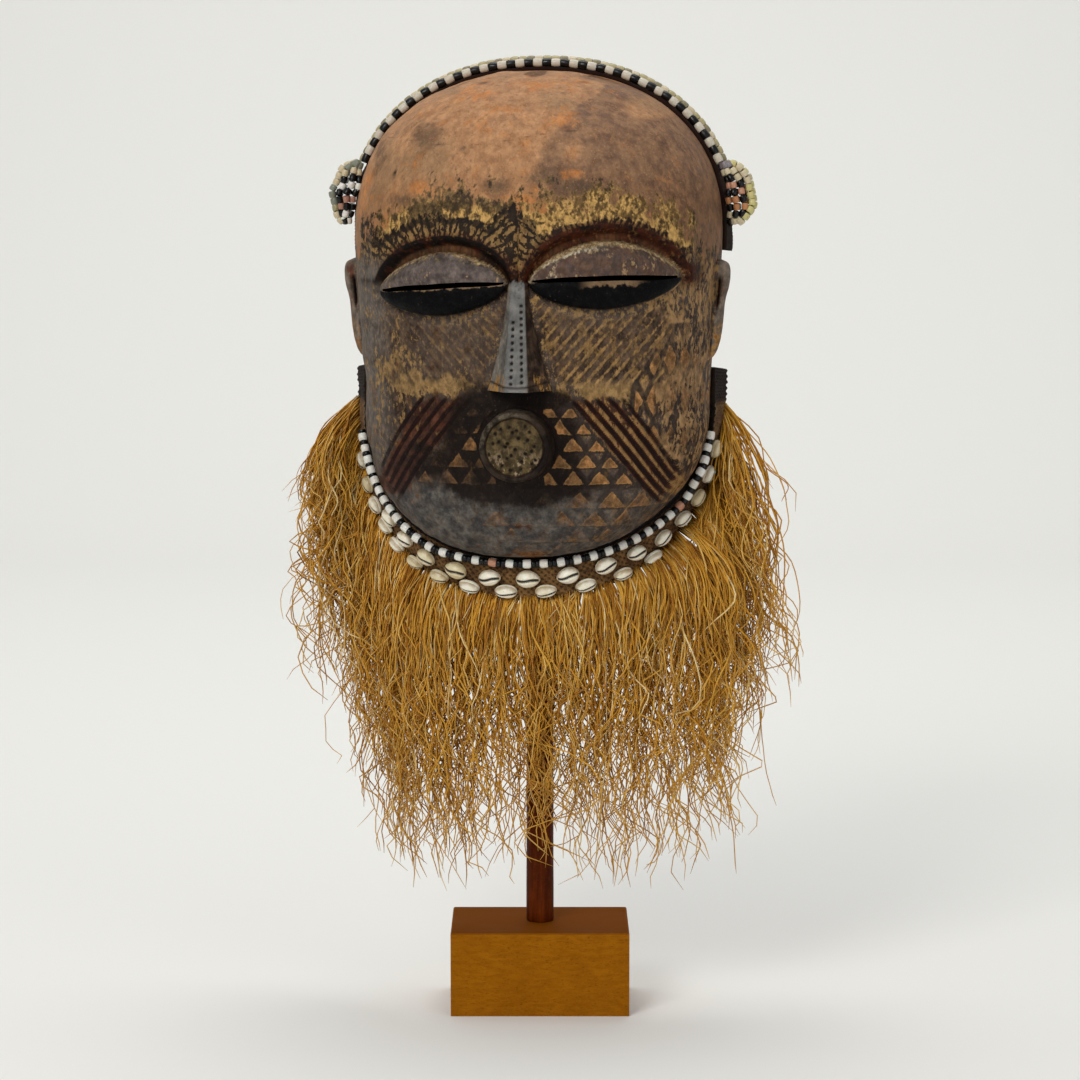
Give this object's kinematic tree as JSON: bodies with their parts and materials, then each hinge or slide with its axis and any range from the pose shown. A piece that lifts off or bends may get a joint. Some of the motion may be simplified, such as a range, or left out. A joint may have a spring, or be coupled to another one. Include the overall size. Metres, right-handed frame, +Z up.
{
  "type": "beaded mask on a stand",
  "caption": "Carved wooden half-helmet face mask with slit eyes and a disc mouth, edged with glass beads, cowries and a raffia fringe, held on a rod and block.",
  "frame": {"origin": "centre of the block's underside", "axes": "+Z up, the front of the block and the face look along -Y, +X to the right of someone who looks at the face"},
  "size_m": [0.3118, 0.1584, 0.6043],
  "materials": {
    "carved_wood": "hand carved, with worn ochre, orange and black pigment",
    "band_cloth": "coarse plain weave, darkened",
    "glass_beads": "small opaque glass beads, black and white, some translucent yellow",
    "cowry_shell": "glossy shell",
    "raffia": "dry plant fibre",
    "rod_wood": "dark stained and lacquered",
    "base_wood": "plain block, stained ochre brown, satin"
  },
  "bodies": {
    "root": {"wood_face": "carved_wood", "crown_band": "band_cloth", "jaw_band": "band_cloth", "crown_bead_string": "glass_beads", "crown_rear_string": "glass_beads", "jaw_bead_string": "glass_beads", "left_bead_cluster": "glass_beads", "right_bead_cluster": "glass_beads", "raffia_fringe": "raffia", "stand_rod": "rod_wood", "stand_base": "base_wood", "upper_cowry_01": "cowry_shell", "upper_cowry_02": "cowry_shell", "upper_cowry_03": "cowry_shell", "upper_cowry_04": "cowry_shell", "upper_cowry_05": "cowry_shell", "upper_cowry_06": "cowry_shell", "upper_cowry_07": "cowry_shell", "upper_cowry_08": "cowry_shell", "upper_cowry_09": "cowry_shell", "upper_cowry_10": "cowry_shell", "upper_cowry_11": "cowry_shell", "upper_cowry_12": "cowry_shell", "upper_cowry_13": "cowry_shell", "upper_cowry_14": "cowry_shell", "upper_cowry_15": "cowry_shell", "upper_cowry_16": "cowry_shell", "upper_cowry_17": "cowry_shell", "lower_cowry_01": "cowry_shell", "lower_cowry_02": "cowry_shell", "lower_cowry_03": "cowry_shell", "lower_cowry_04": "cowry_shell", "lower_cowry_05": "cowry_shell", "lower_cowry_06": "cowry_shell", "lower_cowry_07": "cowry_shell", "lower_cowry_08": "cowry_shell", "lower_cowry_09": "cowry_shell", "lower_cowry_10": "cowry_shell"}
  },
  "joints": []
}
